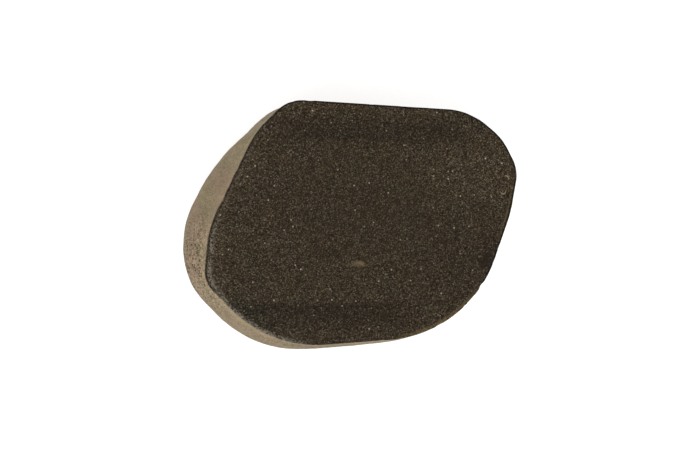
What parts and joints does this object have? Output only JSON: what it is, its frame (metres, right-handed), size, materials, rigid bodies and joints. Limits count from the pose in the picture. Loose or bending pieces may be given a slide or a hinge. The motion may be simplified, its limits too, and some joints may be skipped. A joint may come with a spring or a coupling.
{
  "type": "basalt massage stone",
  "caption": "Hand-held rounded basalt pebble sawn flat across one side, with a tan natural skin round its sides and underside, for hot-stone massage.",
  "frame": {"origin": "in the sawn face, at the middle of its flat part", "axes": "+Z is the outward normal of the sawn face, +X runs along the long way of the stone, towards its squarer end"},
  "size_m": [0.0912, 0.0661, 0.029],
  "materials": {
    "fresh_basalt": "fine sawn and rubbed face, dark brown-grey with dense fine pale specks, faint oily sheen",
    "weathered_basalt": "matt tan natural skin with fine dark pits and faint pink and olive patches"
  },
  "bodies": {
    "root": {"basalt_core": "fresh_basalt", "weathered_rind": "weathered_basalt"}
  },
  "joints": []
}
